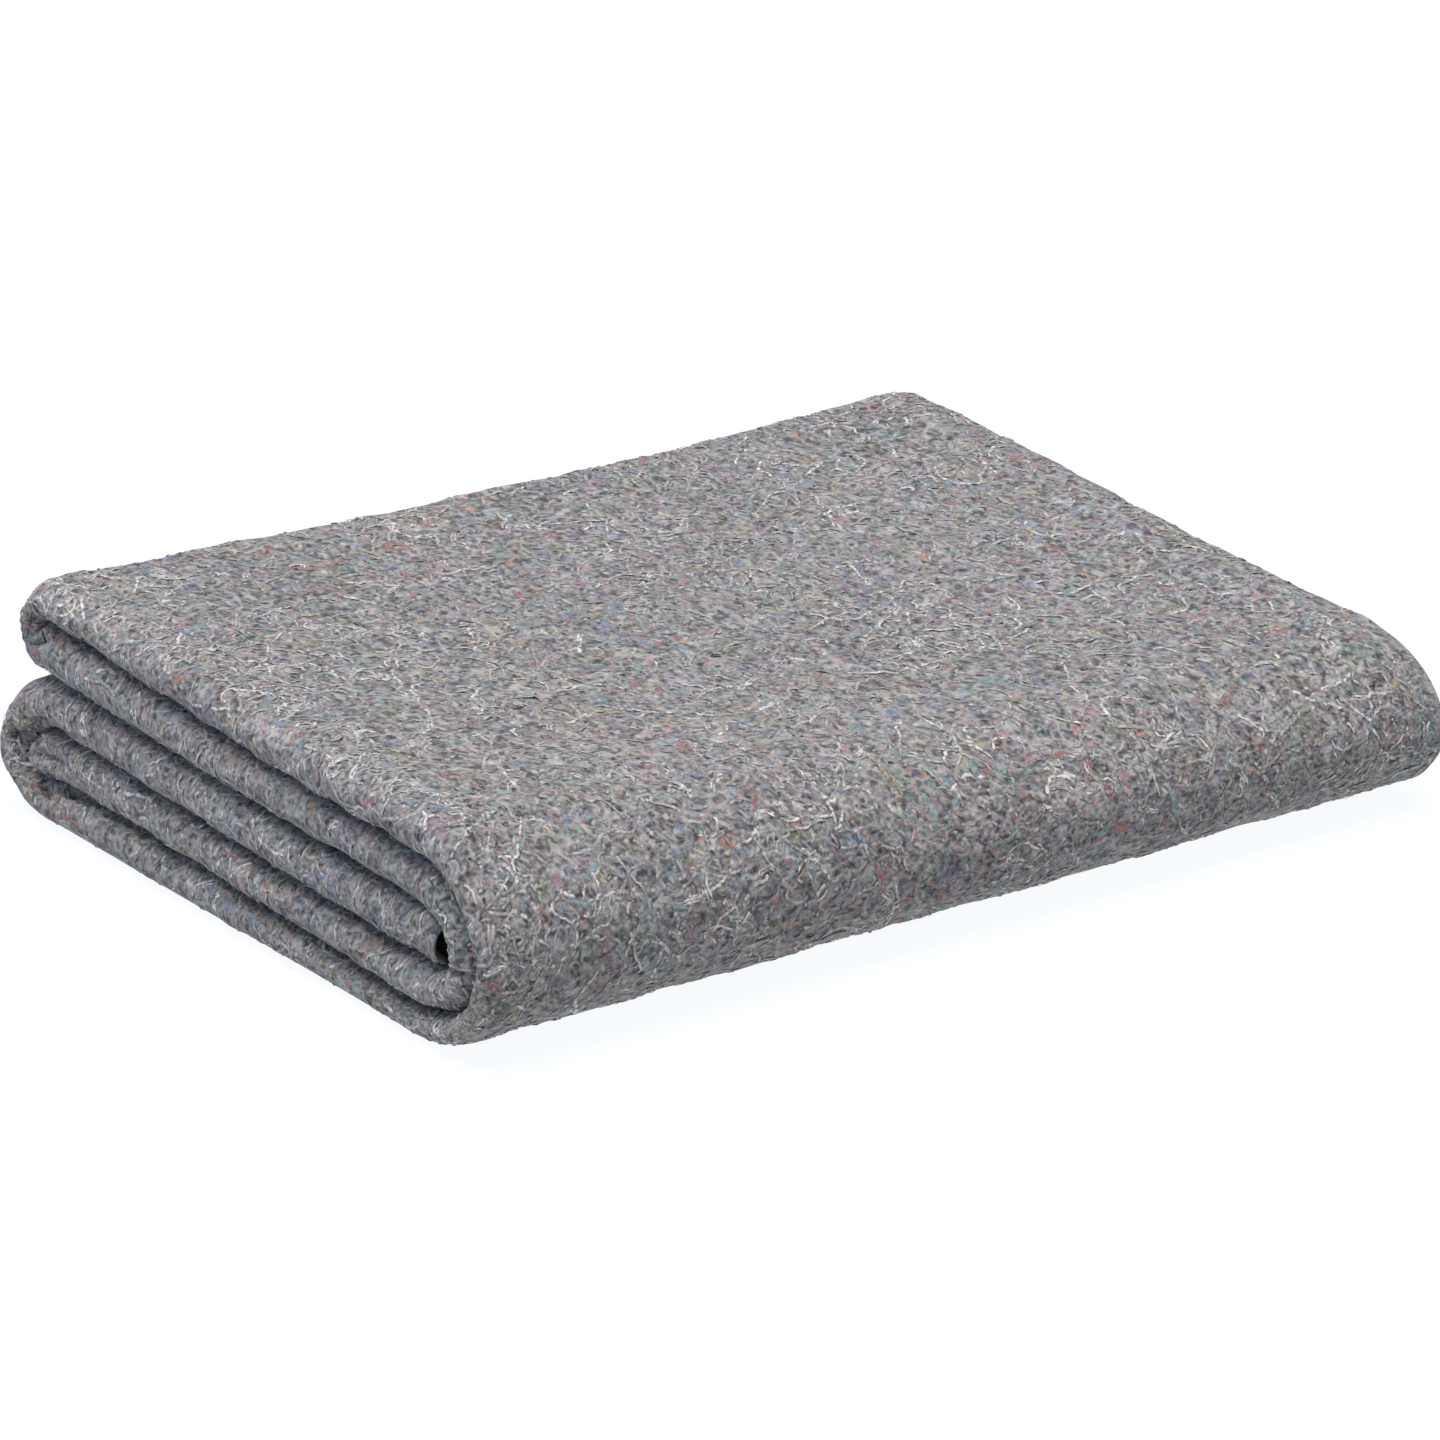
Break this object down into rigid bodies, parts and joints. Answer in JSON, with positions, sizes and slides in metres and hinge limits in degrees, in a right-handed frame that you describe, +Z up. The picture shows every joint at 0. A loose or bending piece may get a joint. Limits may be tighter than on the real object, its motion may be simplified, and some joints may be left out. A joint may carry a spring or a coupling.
{
  "type": "folded moving blanket",
  "caption": "Grey recycled-felt moving blanket, quartered and folded across into a flat stack with rounded folds at its front, back and left end.",
  "frame": {"origin": "middle of the bounding box, on the surface that the blanket lies on", "axes": "+X along the runs from the rounded ridges to the loops and cut edges, +Y from the outer front fold to the back folds, +Z up"},
  "size_m": [0.5042, 0.3996, 0.1115],
  "materials": {
    "felt": "matt grey felt of recycled fibres, with pale and coloured threads"
  },
  "bodies": {
    "root": {"blanket": "felt"}
  },
  "joints": []
}
